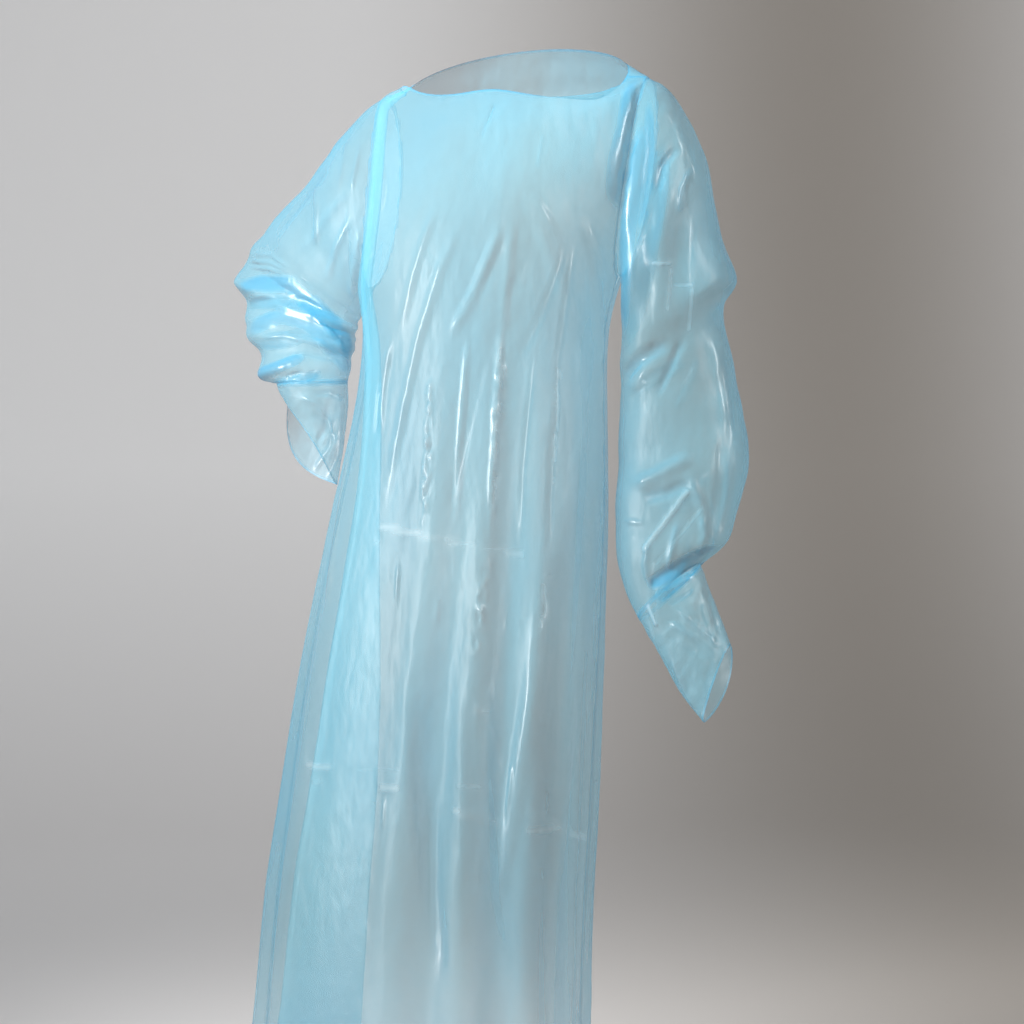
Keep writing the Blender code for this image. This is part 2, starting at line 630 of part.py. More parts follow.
def build_gown():
    front = Piece("front", front_grid(), False, -1.0)
    back = Piece("back", back_grid(), False, 1.0)
    right_places = sleeve_places(RIGHT_RINGS_ABOVE, RIGHT_RINGS_BELOW)
    left_places = sleeve_places(LEFT_RINGS_ABOVE, LEFT_RINGS_BELOW)
    sleeve_right = tube("sleeve_right", RIGHT_SLEEVE, right_places, RIGHT_ARM_FOLDS, -1.0)
    sleeve_left = tube("sleeve_left", LEFT_SLEEVE, left_places, LEFT_ARM_FOLDS, 1.0)
    cuff_right = tube("cuff_right", RIGHT_CUFF, cuff_places(RIGHT_CUFF_RINGS), (), -1.0)
    cuff_left = tube("cuff_left", LEFT_CUFF, cuff_places(LEFT_CUFF_RINGS), (), 1.0)
    share_armhole(front, back, sleeve_right, 0)
    share_armhole(front, back, sleeve_left, -1)
    seal_shoulders_and_sides(front, back)
    seal_armhole(front, back, sleeve_right, 0, 1)
    seal_armhole(front, back, sleeve_left, -1, -1)
    seal_wrist(sleeve_right, cuff_right)
    seal_wrist(sleeve_left, cuff_left)
    for piece in (front, back, sleeve_right, sleeve_left, cuff_right, cuff_left):
        add_piece(piece)


def clear_scene():
    for thing in list(bpy.data.objects):
        bpy.data.objects.remove(thing, do_unlink=True)


clear_scene()
build_gown()
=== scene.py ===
"""A long protective gown of thin light-blue film, worn and hollow, in plain studio light.

Each piece of film is one thin sheet on the outside of its solid's wall, made finer, then creased by listed
ridges and troughs and by small crumples, and given one see-through film finish. Metres, +Z up.
The front faces -Y and the wearer's left is +X.
"""

import math
from collections import namedtuple

import bmesh
import bpy
import numpy as np
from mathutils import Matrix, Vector, noise


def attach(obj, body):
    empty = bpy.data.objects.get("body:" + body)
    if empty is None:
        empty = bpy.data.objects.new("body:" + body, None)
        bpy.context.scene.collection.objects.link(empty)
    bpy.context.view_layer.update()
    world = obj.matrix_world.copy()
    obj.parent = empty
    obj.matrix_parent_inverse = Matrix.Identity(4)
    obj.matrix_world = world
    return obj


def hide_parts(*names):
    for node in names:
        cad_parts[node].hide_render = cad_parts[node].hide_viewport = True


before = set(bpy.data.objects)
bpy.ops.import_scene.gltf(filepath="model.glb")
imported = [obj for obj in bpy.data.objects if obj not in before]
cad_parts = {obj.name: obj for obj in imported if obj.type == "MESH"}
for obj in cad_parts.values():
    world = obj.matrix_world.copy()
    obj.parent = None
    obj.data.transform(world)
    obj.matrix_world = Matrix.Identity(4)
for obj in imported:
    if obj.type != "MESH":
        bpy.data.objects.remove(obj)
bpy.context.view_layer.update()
bpy.ops.object.select_all(action="DESELECT")

# The solids' wall, whose rims have edges of just this length
WALL = 0.0016
RIM_TOLERANCE = 0.00002
MERGE_DISTANCE = 0.00001

# How many times each sheet's faces are halved both ways
FINENESS = 3

# Heat seals and free edges: how wide the denser strip along them is
SEAL_WIDTH = 0.005

# Where the photo was taken from: to the wearer's left of the middle, looking level
CAMERA_TURN = math.radians(24.0)
CAMERA_DISTANCE = 4.6
CAMERA_SIDE = -0.004
CAMERA_HEIGHT = -0.577
CAMERA_LENS = 119.7

# What the lights face
CHEST = (0.0, 0.0, -0.10)
MIDDLE = (0.0, 0.0, -0.55)

FLOOR_HEIGHT = -1.43
STAGE_RADIUS = 7.5
STAGE_WALL = 6.0
STAGE_BEND = 3.0

# The painted soft shadow on the wall and floor, standing for one cast beside the gown: where its middle is,
# to the camera's right, and how fast it fades for each metre
PAINTED_SHADOW_ACROSS = 1.1
PAINTED_SHADOW_FALL = 0.55

# A crease is a ridge where its height is above zero and a trough where it is below. Its line is given as x
# and z along the gown, as seen from the front. Dense is how much thicker the film looks along it. A sharp
# crease has straight flanks, as a packing fold does, and gets a painted white highlight, and a soft one looks
# shiny. Dents is how many small uneven dents a metre break it up, and such a crease gets the painted
# highlight too.
Crease = namedtuple("Crease", "height half_width dense sharp line dents", defaults=(0,))
SHARP = True
SOFT = False

FRONT_CREASES = (
    # Pulled folds that run down from the bust
    Crease(0.0040, 0.014, 0.00, SOFT, ((0.066, -0.149), (0.089, -0.197), (0.108, -0.279), (0.125, -0.356))),
    Crease(0.0030, 0.009, 0.00, SOFT, ((0.079, -0.158), (0.102, -0.201), (0.114, -0.249))),
    Crease(0.0035, 0.011, 0.00, SOFT, ((0.044, -0.188), (0.037, -0.214), (0.007, -0.286), (-0.031, -0.357))),
    Crease(0.0030, 0.012, 0.00, SOFT,
           ((-0.001, -0.174), (-0.041, -0.259), (-0.076, -0.356), (-0.128, -0.588))),
    Crease(0.0030, 0.010, 0.00, SOFT, ((0.059, -0.182), (0.047, -0.273), (0.038, -0.358))),
    Crease(0.0025, 0.011, 0.00, SOFT, ((-0.046, -0.165), (-0.079, -0.257), (-0.107, -0.349))),
    # Upright streaks over the belly
    Crease(0.0042, 0.008, 0.00, SOFT, ((0.039, -0.332), (0.036, -0.430), (0.031, -0.531), (0.031, -0.629))),
    Crease(0.0020, 0.012, 0.00, SOFT, ((0.041, -0.330), (0.037, -0.430), (0.032, -0.531)), 120),
    Crease(0.0035, 0.010, 0.00, SOFT,
           ((0.031, -0.620), (0.024, -0.672), (0.020, -0.712), (0.015, -0.774)), 110),
    Crease(0.0030, 0.008, 0.00, SOFT,
           ((0.000, -0.332), (-0.009, -0.430), (-0.014, -0.496), (-0.017, -0.620))),
    Crease(0.0030, 0.009, 0.00, SOFT, ((-0.117, -0.342), (-0.130, -0.408), (-0.133, -0.475))),
    Crease(0.0030, 0.012, 0.00, SOFT, ((0.125, -0.343), (0.131, -0.429), (0.136, -0.521))),
    Crease(0.0030, 0.010, 0.00, SOFT, ((-0.211, -0.466), (-0.222, -0.588), (-0.230, -0.723))),
    # Broad soft folds of the skirt
    Crease(-0.0050, 0.022, 0.08, SOFT,
           ((-0.059, -0.758), (-0.054, -0.929), (-0.037, -1.085), (-0.007, -1.232))),
    Crease(0.0050, 0.020, 0.00, SOFT, ((0.124, -0.464), (0.104, -0.629), (0.087, -0.796), (0.031, -1.138))),
    Crease(-0.0040, 0.020, 0.00, SOFT, ((0.009, -0.770), (0.019, -0.952), (0.026, -1.212))),
    # Packing creases, which cross the folds
    Crease(0.0035, 0.010, 0.00, SOFT,
           ((-0.054, -0.385), (-0.056, -0.469), (-0.057, -0.535), (-0.064, -0.607)), 120),
    Crease(0.0010, 0.007, 0.00, SHARP,
           ((-0.133, -0.596), (-0.097, -0.601), (-0.036, -0.612), (-0.008, -0.615))),
    Crease(0.0010, 0.007, 0.00, SHARP, ((-0.113, -0.938), (-0.079, -0.941))),
    Crease(0.0010, 0.007, 0.00, SHARP, ((-0.012, -0.966), (0.022, -0.975), (0.044, -0.986))),
    Crease(0.0010, 0.007, 0.00, SHARP, ((0.077, -0.990), (0.116, -0.996))),
    Crease(0.0010, 0.007, 0.00, SHARP, ((-0.249, -0.919), (-0.194, -0.915))),
    Crease(0.0010, 0.007, 0.00, SHARP, ((0.014, -0.833), (0.033, -0.839))),
    # Short dents that catch the light
    Crease(0.0020, 0.005, 0.00, SOFT, ((0.058, -0.899), (0.056, -0.934), (0.051, -0.973))),
    Crease(0.0018, 0.005, 0.00, SOFT, ((0.033, -0.855), (0.040, -0.891))),
    Crease(0.0018, 0.005, 0.00, SOFT, ((-0.097, -0.640), (-0.099, -0.700))),
    Crease(0.0018, 0.005, 0.00, SOFT, ((-0.038, -0.690), (-0.042, -0.727))),
    Crease(0.0020, 0.005, 0.00, SOFT, ((-0.104, -0.949), (-0.104, -0.994))),
    # At the neck and the left shoulder
    Crease(-0.0012, 0.005, 0.10, SOFT, ((0.005, -0.029), (0.002, -0.057), (-0.002, -0.085))),
    Crease(0.0030, 0.014, 0.40, SOFT, ((0.180, 0.010), (0.180, -0.067), (0.172, -0.113), (0.165, -0.190))),
)

LEFT_SLEEVE_CREASES = (
    # Upper arm
    Crease(-0.0035, 0.009, 0.15, SOFT, ((0.245, -0.091), (0.228, -0.123), (0.223, -0.163))),
    Crease(0.0030, 0.012, 0.05, SOFT, ((0.216, -0.032), (0.236, -0.066), (0.253, -0.113))),
    Crease(0.0040, 0.018, 0.00, SOFT, ((0.234, -0.121), (0.230, -0.220), (0.221, -0.337))),
    Crease(0.0030, 0.020, 0.40, SOFT, ((0.206, -0.040), (0.192, -0.140), (0.177, -0.244), (0.158, -0.362))),
    Crease(0.0009, 0.004, 0.15, SHARP, ((0.215, -0.250), (0.241, -0.251))),
    Crease(0.0009, 0.004, 0.10, SHARP, ((0.239, -0.254), (0.237, -0.285), (0.234, -0.315))),
    Crease(0.0025, 0.009, 0.05, SOFT, ((0.280, -0.150), (0.292, -0.205), (0.303, -0.257))),
    # Elbow
    Crease(-0.0040, 0.015, 0.15, SOFT, ((0.160, -0.402), (0.194, -0.376), (0.215, -0.362), (0.238, -0.357))),
    Crease(0.0035, 0.015, 0.00, SOFT, ((0.169, -0.422), (0.201, -0.392), (0.233, -0.374))),
    Crease(-0.0035, 0.009, 0.10, SOFT, ((0.252, -0.344), (0.236, -0.386), (0.217, -0.427))),
    Crease(0.0030, 0.010, 0.05, SOFT, ((0.282, -0.337), (0.297, -0.416), (0.307, -0.482))),
    # Forearm
    Crease(0.0048, 0.015, 0.05, SOFT, ((0.182, -0.544), (0.224, -0.528), (0.274, -0.502))),
    Crease(-0.0035, 0.014, 0.10, SOFT, ((0.199, -0.559), (0.239, -0.551), (0.270, -0.535))),
    Crease(0.0030, 0.006, 0.10, SHARP, ((0.204, -0.630), (0.235, -0.590), (0.267, -0.546))),
    Crease(0.0016, 0.005, 0.05, SOFT, ((0.172, -0.589), (0.207, -0.591))),
    Crease(0.0035, 0.009, 0.05, SOFT, ((0.264, -0.522), (0.279, -0.561), (0.289, -0.607))),
    Crease(-0.0030, 0.009, 0.05, SOFT, ((0.301, -0.469), (0.303, -0.535), (0.293, -0.601))),
    # The gather at the wrist, and what it pulls
    Crease(-0.0050, 0.015, 0.60, SOFT, ((0.205, -0.680), (0.244, -0.655), (0.266, -0.642), (0.305, -0.620))),
    Crease(0.0030, 0.007, 0.10, SOFT, ((0.215, -0.679), (0.208, -0.647), (0.215, -0.614))),
    Crease(0.0030, 0.007, 0.15, SOFT, ((0.239, -0.660), (0.246, -0.620), (0.252, -0.587))),
    Crease(0.0030, 0.007, 0.15, SOFT, ((0.275, -0.640), (0.285, -0.607), (0.279, -0.581))),
)

LEFT_CUFF_CREASES = (
    Crease(0.0022, 0.004, 0.20, SHARP, ((0.206, -0.689), (0.214, -0.707), (0.224, -0.727))),
    Crease(0.0025, 0.006, 0.25, SOFT, ((0.230, -0.681), (0.251, -0.671), (0.271, -0.657))),
    Crease(0.0025, 0.007, 0.05, SOFT, ((0.245, -0.695), (0.268, -0.720), (0.297, -0.744), (0.308, -0.758))),
    Crease(0.0025, 0.007, 0.05, SOFT, ((0.240, -0.719), (0.263, -0.735), (0.283, -0.747))),
    Crease(-0.0020, 0.007, 0.05, SOFT, ((0.279, -0.666), (0.294, -0.705), (0.309, -0.744))),
    Crease(0.0018, 0.007, 0.05, SOFT, ((0.241, -0.764), (0.260, -0.810), (0.275, -0.840))),
    Crease(-0.0018, 0.007, 0.05, SOFT, ((0.298, -0.764), (0.294, -0.803), (0.288, -0.838))),
)

RIGHT_SLEEVE_CREASES = (
    # Upper arm and the loose film under it
    Crease(0.0020, 0.006, 0.05, SOFT, ((-0.240, -0.059), (-0.242, -0.094), (-0.248, -0.136))),
    Crease(0.0020, 0.006, 0.05, SOFT, ((-0.216, -0.068), (-0.219, -0.103), (-0.226, -0.144))),
    Crease(0.0025, 0.008, 0.05, SOFT, ((-0.295, -0.115), (-0.287, -0.168), (-0.291, -0.218))),
    Crease(-0.0030, 0.010, 0.10, SOFT, ((-0.268, -0.099), (-0.329, -0.150), (-0.373, -0.196))),
    Crease(0.0025, 0.009, 0.05, SOFT, ((-0.223, -0.171), (-0.253, -0.218), (-0.281, -0.264))),
    Crease(0.0020, 0.008, 0.05, SOFT, ((-0.209, -0.185), (-0.226, -0.239), (-0.249, -0.291))),
    # Fine pleats at the elbow
    Crease(0.0022, 0.004, 0.05, SOFT, ((-0.429, -0.212), (-0.379, -0.218), (-0.338, -0.240))),
    Crease(0.0022, 0.004, 0.05, SOFT, ((-0.438, -0.221), (-0.383, -0.228), (-0.339, -0.244))),
    Crease(0.0022, 0.004, 0.05, SOFT, ((-0.439, -0.231), (-0.387, -0.236), (-0.347, -0.247))),
    # Bands of doubled film round the forearm
    Crease(0.0025, 0.018, 0.42, SOFT,
           ((-0.462, -0.262), (-0.405, -0.256), (-0.345, -0.260), (-0.235, -0.349))),
    Crease(0.0025, 0.020, 0.32, SOFT,
           ((-0.430, -0.325), (-0.350, -0.304), (-0.310, -0.312), (-0.232, -0.372))),
    Crease(-0.0035, 0.009, 0.00, SOFT,
           ((-0.436, -0.284), (-0.365, -0.280), (-0.319, -0.285), (-0.273, -0.311))),
    Crease(0.0025, 0.006, 0.00, SOFT, ((-0.301, -0.307), (-0.267, -0.341), (-0.257, -0.363))),
    Crease(0.0025, 0.007, 0.10, SOFT,
           ((-0.392, -0.334), (-0.341, -0.331), (-0.287, -0.344), (-0.259, -0.367))),
    # The bunch at the wrist
    Crease(0.0040, 0.014, 0.45, SOFT, ((-0.410, -0.392), (-0.355, -0.378), (-0.300, -0.360))),
    Crease(-0.0030, 0.008, 0.20, SOFT, ((-0.382, -0.402), (-0.339, -0.394), (-0.302, -0.381))),
)

RIGHT_CUFF_CREASES = (
    Crease(0.0025, 0.007, 0.10, SOFT, ((-0.315, -0.392), (-0.285, -0.390), (-0.258, -0.403))),
    Crease(0.0022, 0.007, 0.05, SOFT, ((-0.315, -0.415), (-0.289, -0.429), (-0.270, -0.464))),
    Crease(-0.0020, 0.007, 0.05, SOFT, ((-0.273, -0.416), (-0.282, -0.464), (-0.316, -0.511))),
    Crease(0.0020, 0.006, 0.05, SOFT, ((-0.261, -0.422), (-0.269, -0.477), (-0.295, -0.530))),
    Crease(0.0018, 0.005, 0.15, SOFT, ((-0.335, -0.520), (-0.316, -0.524), (-0.295, -0.535))),
)

# How fast creases rise from their two ends, a sharp one at once and a soft one slowly
SHARP_END_RISE = 10.0
SHARP_END_START = 0.2
SOFT_END_RISE = 4.0

# How fast creases fade where the film turns away to the other side, and where in that fade it is on edge
SIDE_RISE = 2.0
SIDE_START = 0.3

# How far out on a crease's flanks its film looks dense and shiny, and how far out its painted white highlight
# reaches
FILM_REACH = 1.6
PAINTED_HIGHLIGHT_REACH = 1.3

# The middle share of its height that a dented crease keeps, and how much its dents change that
DENT_MIDDLE = 0.45
DENT_DEPTH = 2.2

# Creases and crumples fade out this near a sheet's edge
EDGE_FADE = 0.02

# How many rounds of steps from point to point the distance from the edge is measured for
EDGE_ROUNDS = 8

# The side that the photo hides has creases like those in front, a little beside and below them and less high
HIDDEN_ASIDE = 0.015
HIDDEN_DOWN = 0.020
HIDDEN_HEIGHT = 0.85

# Small crumples that the film keeps from being packed: the height of each, how many there are to a metre, how
# much longer than wide they are along Z, and where in the noise they start
Crumple = namedtuple("Crumple", "height per_metre stretch seed")
BODY_CRUMPLES = (Crumple(0.0022, 11.0, 5.0, 1.0), Crumple(0.0006, 40.0, 3.0, 5.0))
SLEEVE_CRUMPLES = (Crumple(0.0020, 14.0, 4.0, 9.0), Crumple(0.0005, 40.0, 2.5, 13.0))
CUFF_CRUMPLES = (Crumple(0.0018, 26.0, 1.8, 17.0), Crumple(0.0007, 60.0, 1.2, 21.0))

# How rounded the crumples' tops are
CRUMPLE_ROUNDING = 0.08

# Each piece of the gown: the node that it stands on, a point inside it where its own middle isn't, its
# creases and crumples, and the size and area that it was cut to, in metres and square metres
Film = namedtuple("Film", "name node inside creases crumples cut area")
BODY_INSIDE = (-0.06, 0.0, -0.6)
RIGHT_CUT = (0.62, 0.61)
LEFT_CUT = (0.62, 0.72)
FILMS = (
    Film("front_film", "front", BODY_INSIDE, FRONT_CREASES, BODY_CRUMPLES, (0.98, 1.40), 0.93),
    Film("back_film", "back", BODY_INSIDE, FRONT_CREASES, BODY_CRUMPLES, (0.66, 1.41), 0.72),
    Film("right_sleeve_film", "sleeve_right", None, RIGHT_SLEEVE_CREASES, SLEEVE_CRUMPLES, RIGHT_CUT, 0.175),
    Film("left_sleeve_film", "sleeve_left", None, LEFT_SLEEVE_CREASES, SLEEVE_CRUMPLES, LEFT_CUT, 0.24),
    Film("right_cuff_film", "cuff_right", None, RIGHT_CUFF_CREASES, CUFF_CRUMPLES, (0.33, 0.15), 0.026),
    Film("left_cuff_film", "cuff_left", None, LEFT_CUFF_CREASES, CUFF_CRUMPLES, (0.27, 0.17), 0.034),
)


class Socket:
    """A node's output, which Python's own signs do sums on."""

    def __init__(self, material, output):
        self.material = material
        self.output = output

    def sum(self, operation, *values):
        return self.material.node("ShaderNodeMath", {"operation": operation}, dict(enumerate(values)))

    def __add__(self, other):
        return self.sum("ADD", self, other)

    def __sub__(self, other):
        return self.sum("SUBTRACT", self, other)

    def __mul__(self, other):
        return self.sum("MULTIPLY", self, other)

    def __rsub__(self, other):
        return self.sum("SUBTRACT", other, self)

    def __abs__(self):
        return self.sum("ABSOLUTE", self)

    __radd__ = __add__
    __rmul__ = __mul__

    def at_most(self, other):
        return self.sum("MINIMUM", self, other)

    def at_least(self, other):
        return self.sum("MAXIMUM", self, other)


class Material:
    """A material made of nodes."""

    def __init__(self, name):
        self.made = bpy.data.materials.new(name)
        self.made.use_nodes = True
        self.tree = self.made.node_tree
        self.tree.nodes.clear()

    def node(self, kind, settings=None, values=None, output=0):
        """Adds a node: its settings first, then its sockets' values or links."""
        made = self.tree.nodes.new(kind)
        for name, setting in (settings or {}).items():
            setattr(made, name, setting)
        for name, value in (values or {}).items():
            if isinstance(value, Socket):
                self.tree.links.new(value.output, made.inputs[name])
            else:
                made.inputs[name].default_value = value
        return Socket(self, made.outputs[output])

    def mixed(self, share, first, second):
        """A colour between two others."""
        settings = {"data_type": "RGBA"}
        return self.node("ShaderNodeMix", settings, {"Factor": share, 6: first, 7: second}, output=2)

    def finish(self, shader):
        surface = self.tree.nodes.new("ShaderNodeOutputMaterial").inputs["Surface"]
        self.tree.links.new(shader.output, surface)


def outer_side(bm, inside):
    """The island of faces, of all in the mesh, that faces away from a point inside."""
    left = set(bm.faces)
    best, outer = 0.0, []
    while left:
        queue = [left.pop()]
        island = []
        while queue:
            face = queue.pop()
            island.append(face)
            for edge in face.edges:
                for other in edge.link_faces:
                    if other in left:
                        left.discard(other)
                        queue.append(other)
        away = sum(
            (face.calc_center_median() - inside).dot(face.normal) * face.calc_area() for face in island
        )
        if away > best:
            best, outer = away, island
    return outer


def wall_sheet(film):
    """The outside of a node's wall as a new object, one layer thick, with its triangles joined to quads."""
    bm = bmesh.new()
    bm.from_mesh(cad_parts[film.node].data)
    bmesh.ops.remove_doubles(bm, verts=bm.verts, dist=MERGE_DISTANCE)
    rims = [face for face in bm.faces if any(abs(e.calc_length() - WALL) < RIM_TOLERANCE for e in face.edges)]
    bmesh.ops.delete(bm, geom=rims, context="FACES")
    bm.normal_update()
    middle = sum((v.co for v in bm.verts), Vector()) / len(bm.verts)
    outer = set(outer_side(bm, Vector(film.inside) if film.inside else middle))
    bmesh.ops.delete(bm, geom=[face for face in bm.faces if face not in outer], context="FACES")
    bmesh.ops.join_triangles(bm, faces=bm.faces, angle_face_threshold=math.pi, angle_shape_threshold=math.pi)
    mesh = bpy.data.meshes.new(film.name)
    bm.to_mesh(mesh)
    bm.free()
    sheet = bpy.data.objects.new(film.name, mesh)
    bpy.context.collection.objects.link(sheet)
    return sheet


def make_finer(sheet):
    bpy.context.view_layer.objects.active = sheet
    sheet.select_set(True)
    rounding = sheet.modifiers.new("rounding", "SUBSURF")
    rounding.levels = FINENESS
    rounding.render_levels = FINENESS
    rounding.boundary_smooth = "PRESERVE_CORNERS"
    bpy.ops.object.modifier_apply(modifier=rounding.name)
    bpy.ops.object.shade_smooth()
    sheet.select_set(False)


def read_vectors(collection, name):
    values = np.empty(len(collection) * 3, dtype=np.float32)
    collection.foreach_get(name, values)
    return values.reshape(-1, 3).astype(float)


def smooth(share):
    """An even step from 0 to 1 with soft ends."""
    share = np.clip(share, 0.0, 1.0)
    return share * share * (3.0 - 2.0 * share)


def along_line(places, line):
    """How far each place is from a line of points, and how far along the line it lies, from 0 to 1."""
    points = np.array(line)
    lengths = np.linalg.norm(np.diff(points, axis=0), axis=1)
    total, done = lengths.sum(), 0.0
    far = np.full(len(places), np.inf)
    along = np.zeros(len(places))
    for start, end, length in zip(points[:-1], points[1:], lengths):
        step = (end - start) / length
        share = np.clip((places - start) @ step, 0.0, length)
        distance = np.linalg.norm(places - start - share[:, None] * step, axis=1)
        nearer = distance < far
        far[nearer] = distance[nearer]
        along[nearer] = (done + share[nearer]) / total
        done += length
    return far, along


def behind(creases):
    """The creases of the side that the photo hides, worked out from those in front."""
    moved = []
    for crease in creases:
        line = tuple((x - HIDDEN_ASIDE, z - HIDDEN_DOWN) for x, z in crease.line)
        moved.append(crease._replace(height=crease.height * HIDDEN_HEIGHT, line=line))
    return moved


def crease_shapes(points, normals, creases, side):
    """What the creases of one side, -1 in front and 1 behind, do to each point.

    The four rows are how far they raise it, how dense and shiny they make its film, and its painted
    highlight.
    """
    raised, dense, shiny, painted_highlight = np.zeros((4, len(points)))
    places = points[:, [0, 2]]
    on_side = smooth(normals[:, 1] * side * SIDE_RISE + SIDE_START)
    for crease in creases:
        far, along = along_line(places, crease.line)
        share = np.clip(1.0 - far / crease.half_width, 0.0, 1.0)
        from_end = np.minimum(along, 1.0 - along)
        if crease.sharp:
            shape = share * smooth(from_end * SHARP_END_RISE + SHARP_END_START)
        else:
            shape = smooth(share) * smooth(from_end * SOFT_END_RISE)
        if crease.dents:
            for number in np.flatnonzero(shape):
                dent = noise.noise(Vector(points[number]) * crease.dents)
                shape[number] *= DENT_MIDDLE + DENT_DEPTH * dent
        raised += crease.height * shape * on_side
        dense += crease.dense * smooth(shape * FILM_REACH) * on_side
        # Sharp and dented creases get a painted white highlight along them
        if crease.sharp or crease.dents:
            painted_highlight = np.maximum(painted_highlight, smooth(shape * PAINTED_HIGHLIGHT_REACH) * on_side)
        if not crease.sharp:
            shiny = np.maximum(shiny, smooth(shape * FILM_REACH) * on_side)
    return np.array((raised, dense, shiny, painted_highlight))


def crumple_shape(points, crumples):
    """How far the small uneven ridges all over raise each point.

    A ridge runs where the noise crosses zero, and the film sinks where the noise is strong.
    """
    raised = np.zeros(len(points))
    for crumple in crumples:
        wide = crumple.per_metre
        tall = crumple.per_metre / crumple.stretch
        for number, (x, y, z) in enumerate(points):
            place = Vector((x * wide + crumple.seed, y * wide, z * tall))
            raised[number] += crumple.height * (0.5 - 2.0 * math.hypot(noise.noise(place), CRUMPLE_ROUNDING))
    return raised


def edge_distance(mesh, points):
    """How far each point is from the sheet's edge, for those near it."""
    loop_edges = np.empty(len(mesh.loops), dtype=np.int32)
    mesh.loops.foreach_get("edge_index", loop_edges)
    uses = np.bincount(loop_edges, minlength=len(mesh.edges))
    ends = np.empty(len(mesh.edges) * 2, dtype=np.int32)
    mesh.edges.foreach_get("vertices", ends)
    ends = ends.reshape(-1, 2)
    lengths = np.linalg.norm(points[ends[:, 0]] - points[ends[:, 1]], axis=1)
    far = np.full(len(points), 1.0)
    far[np.unique(ends[uses == 1])] = 0.0
    for _ in range(EDGE_ROUNDS):
        np.minimum.at(far, ends[:, 0], far[ends[:, 1]] + lengths)
        np.minimum.at(far, ends[:, 1], far[ends[:, 0]] + lengths)
    return far


def write_attribute(mesh, name, values):
    attribute = mesh.attributes.new(name, "FLOAT", "POINT")
    attribute.data.foreach_set("value", values.astype(np.float32))


def shape_film(sheet, film):
    """Creases and crumples a sheet, and notes where its film is dense, shiny, painted with a highlight, or
    near the edge.
    """
    mesh = sheet.data
    points = read_vectors(mesh.vertices, "co")
    normals = read_vectors(mesh.vertices, "normal")
    far = edge_distance(mesh, points)
    in_front = crease_shapes(points, normals, film.creases, -1.0)
    at_back = crease_shapes(points, normals, behind(film.creases), 1.0)
    raised, dense, shiny, painted_highlight = in_front + at_back
    raised += crumple_shape(points, film.crumples)
    raised *= smooth(far / EDGE_FADE)
    points += normals * raised[:, None]
    mesh.vertices.foreach_set("co", points.astype(np.float32).ravel())
    write_attribute(mesh, "dense", np.clip(dense, 0.0, 1.0))
    write_attribute(mesh, "shiny", np.clip(shiny, 0.0, 1.0))
    # The painted white highlight along sharp and dented creases
    write_attribute(mesh, "painted_highlight", np.clip(painted_highlight, 0.0, 1.0))
    write_attribute(mesh, "edge", np.clip(1.0 - far / SEAL_WIDTH, 0.0, 1.0))
    mesh.update()


def film_material():
    """Thin light-blue film: see-through, glossy, finely crinkled, and bluer where folded or seen on edge.

    Its colour has a painted white highlight along sharp and dented creases.
    """
    film = Material("blue_film")
    here = film.node("ShaderNodeTexCoord", output=3)
    tall = film.node("ShaderNodeMapping", None, {"Vector": here, "Scale": (1.0, 1.0, 0.4)})
    dense = film.node("ShaderNodeAttribute", {"attribute_name": "dense"}, output=2)
    edge = film.node("ShaderNodeAttribute", {"attribute_name": "edge"}, output=2)
    shiny = film.node("ShaderNodeAttribute", {"attribute_name": "shiny"}, output=2)
    painted_highlight = film.node("ShaderNodeAttribute", {"attribute_name": "painted_highlight"}, output=2)
    facing = film.node("ShaderNodeLayerWeight", None, {"Blend": 0.35}, output=1)
    cloud = film.node("ShaderNodeTexNoise", None, {"Vector": tall, "Scale": 9.0, "Detail": 0.0})
    crinkle = film.node("ShaderNodeTexNoise", None, {"Vector": tall, "Scale": 70.0, "Detail": 1.5})
    bump = film.node("ShaderNodeBump", None, {"Strength": 0.6, "Distance": 0.003, "Height": crinkle})
    light = (0.17, 0.52, 0.63, 1.0)
    # The white of the painted highlight along sharp and dented creases
    highlight_white = (0.80, 0.92, 0.96, 1.0)
    deep = (0.004, 0.29, 0.50, 1.0)
    uneven = cloud - 0.5
    bluer = (dense * 1.4 + edge * 0.6 + facing * 0.5 + uneven * 0.5 + 0.15).at_most(1.0).at_least(0.0)
    # The painted highlight mixes white into the colour and makes the film a little less see-through
    color = film.mixed(painted_highlight * 0.3, film.mixed(bluer, light, deep), highlight_white)
    thicker = facing * 0.24 + dense * 0.70 + edge * 0.30 + painted_highlight * 0.06 + uneven * 0.22
    alpha = (thicker + 0.29).at_most(0.92)
    film.finish(
        film.node(
            "ShaderNodeBsdfPrincipled",
            None,
            {
                "Base Color": color,
                "Roughness": 0.33 + cloud * 0.16 - shiny * 0.10,
                "Alpha": alpha,
                "Normal": bump,
                "IOR": 1.9,
                "Specular IOR Level": 0.9,
                "Coat Weight": 0.05 + shiny * 0.65,
                "Coat Roughness": 0.16,
                "Coat IOR": 1.8,
            },
        )
    )
    return film.made


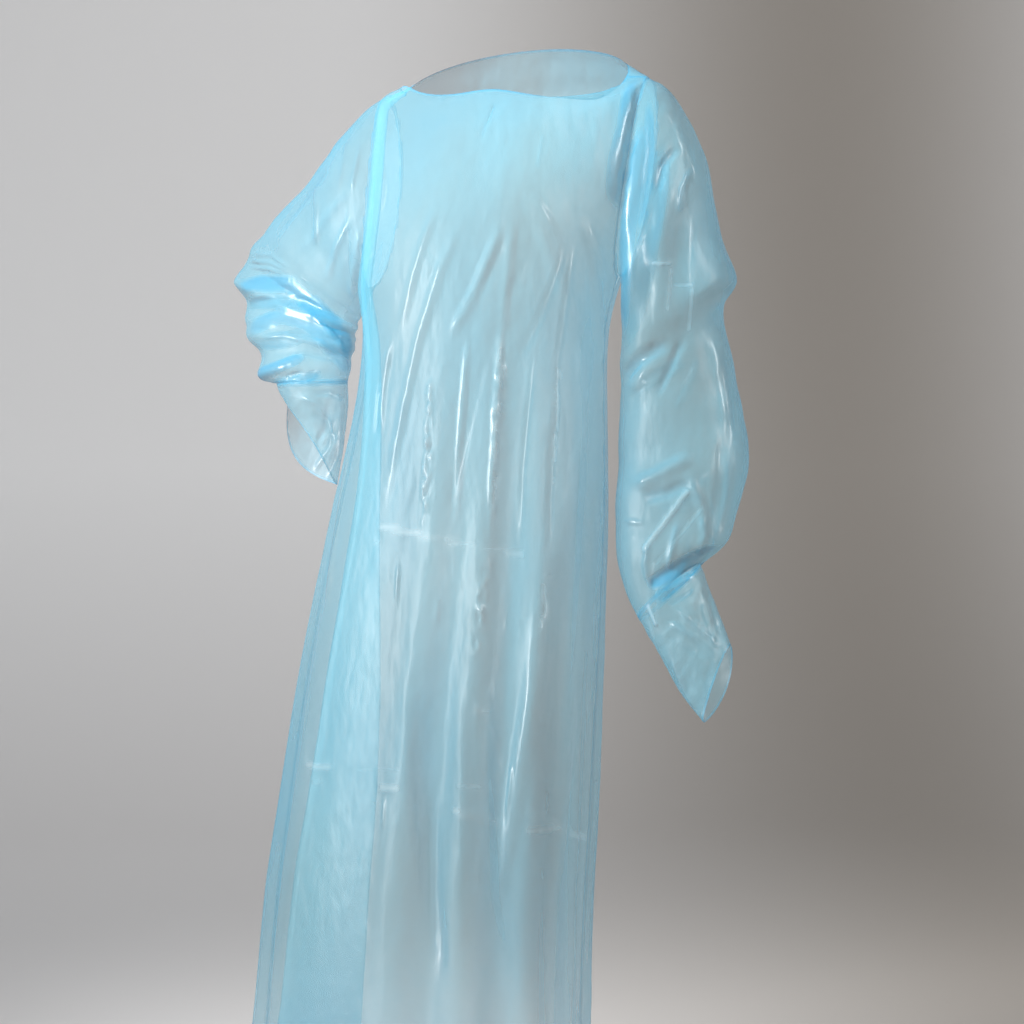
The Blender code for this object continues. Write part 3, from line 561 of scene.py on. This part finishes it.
def stage_material():
    """A plain light-coloured wall with a painted soft shadow on it, to the camera's right, and a darker
    floor.
    """
    wall = Material("pale_wall")
    here = wall.node("ShaderNodeTexCoord", output=3)
    turned = wall.node("ShaderNodeMapping", None, {"Vector": here, "Rotation": (0.0, 0.0, -CAMERA_TURN)})
    across = wall.node("ShaderNodeSeparateXYZ", None, {"Vector": turned})
    height = wall.node("ShaderNodeSeparateXYZ", None, {"Vector": turned}, output=2)
    # The painted shadow: strongest to the camera's right, fading to either side
    near = (1.0 - abs(across - PAINTED_SHADOW_ACROSS) * PAINTED_SHADOW_FALL).at_least(0.0)
    share = near * near * (3.0 - near * 2.0)
    upright = (height - FLOOR_HEIGHT).at_most(1.0)
    # The floor and the wall each darken towards the painted shadow's colour
    low = wall.mixed(share, (0.72, 0.70, 0.69, 1.0), (0.32, 0.29, 0.26, 1.0))
    high = wall.mixed(share, (0.98, 0.965, 0.955, 1.0), (0.38, 0.345, 0.31, 1.0))
    color = wall.mixed(upright, low, high)
    wall.finish(wall.node("ShaderNodeBsdfPrincipled", None, {"Base Color": color, "Roughness": 0.9}))
    return wall.made


def add_stage():
    """A round floor that bends up into a wall, wide enough to stand behind the gown from any side."""
    middle = (0.0, 0.0, FLOOR_HEIGHT + STAGE_WALL / 2.0)
    bpy.ops.mesh.primitive_cylinder_add(
        vertices=96, radius=STAGE_RADIUS, depth=STAGE_WALL, location=middle
    )
    stage = bpy.context.object
    stage.name = "stage"

    # Its lid comes off, and its lower corner is rounded
    bm = bmesh.new()
    bm.from_mesh(stage.data)
    lid = [face for face in bm.faces if face.normal.z > 0.9]
    bmesh.ops.delete(bm, geom=lid, context="FACES")
    corner = [edge for edge in bm.edges if all(v.co.z < 0.0 for v in edge.verts)]
    bmesh.ops.bevel(bm, geom=corner, offset=STAGE_BEND, segments=16, profile=0.5, affect="EDGES")
    bmesh.ops.reverse_faces(bm, faces=bm.faces)
    bm.to_mesh(stage.data)
    bm.free()
    bpy.ops.object.transform_apply(location=True, rotation=False, scale=False)
    bpy.ops.object.shade_smooth()
    stage.data.materials.append(stage_material())
    stage.select_set(False)


def add_light(name, place, aim, size, power, spread=180.0, gloss=True):
    """A soft light of a width and height that faces a point, spread over so many degrees."""
    light = bpy.data.lights.new(name, "AREA")
    light.shape = "RECTANGLE"
    light.size, light.size_y = size
    light.energy = power
    light.spread = math.radians(spread)
    lamp = bpy.data.objects.new(name, light)
    bpy.context.collection.objects.link(lamp)
    lamp.visible_glossy = gloss
    lamp.location = place
    lamp.rotation_euler = (Vector(aim) - Vector(place)).to_track_quat("-Z", "Y").to_euler()


def add_camera():
    side, ahead = math.cos(CAMERA_TURN), math.sin(CAMERA_TURN)
    x = CAMERA_SIDE * side + CAMERA_DISTANCE * ahead
    y = CAMERA_SIDE * ahead - CAMERA_DISTANCE * side
    camera = bpy.data.objects.new("camera", bpy.data.cameras.new("camera"))
    bpy.context.collection.objects.link(camera)
    camera.location = (x, y, CAMERA_HEIGHT)
    camera.rotation_euler = (math.radians(90.0), 0.0, CAMERA_TURN)
    camera.data.lens = CAMERA_LENS
    camera.data.clip_end = 50.0
    bpy.context.scene.camera = camera


def add_world():
    world = bpy.data.worlds.new("studio")
    world.use_nodes = True
    background = world.node_tree.nodes["Background"]
    background.inputs["Color"].default_value = (0.9, 0.95, 1.0, 1.0)
    background.inputs["Strength"].default_value = 0.40
    bpy.context.scene.world = world


add_stage()
add_world()
add_camera()
add_light("key", (-1.3, -1.9, 1.5), CHEST, (1.2, 1.2), 28.0, spread=60.0, gloss=False)
add_light("strip", (-2.7, -3.1, -0.1), MIDDLE, (0.4, 1.0), 40.0)
add_light("fill", (3.4, -1.6, 1.2), MIDDLE, (0.5, 1.6), 28.0)
add_light("top", (0.4, 1.2, 4.2), MIDDLE, (4.0, 4.0), 20.0)
add_light("backdrop", (-0.8, 3.5, 3.2), (-2.0, 7.0, -0.4), (2.0, 1.0), 50.0, gloss=False)

finish = film_material()
for film in FILMS:
    sheet = wall_sheet(film)
    make_finer(sheet)
    shape_film(sheet, film)
    sheet.data.materials.append(finish)
    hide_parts(film.node)
    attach(sheet, "root")

bpy.context.scene.view_settings.view_transform = "Standard"
bpy.context.scene.cycles.transparent_max_bounces = 10
bpy.context.scene.cycles.max_bounces = 3
bpy.context.scene.cycles.diffuse_bounces = 2
bpy.context.scene.cycles.glossy_bounces = 2
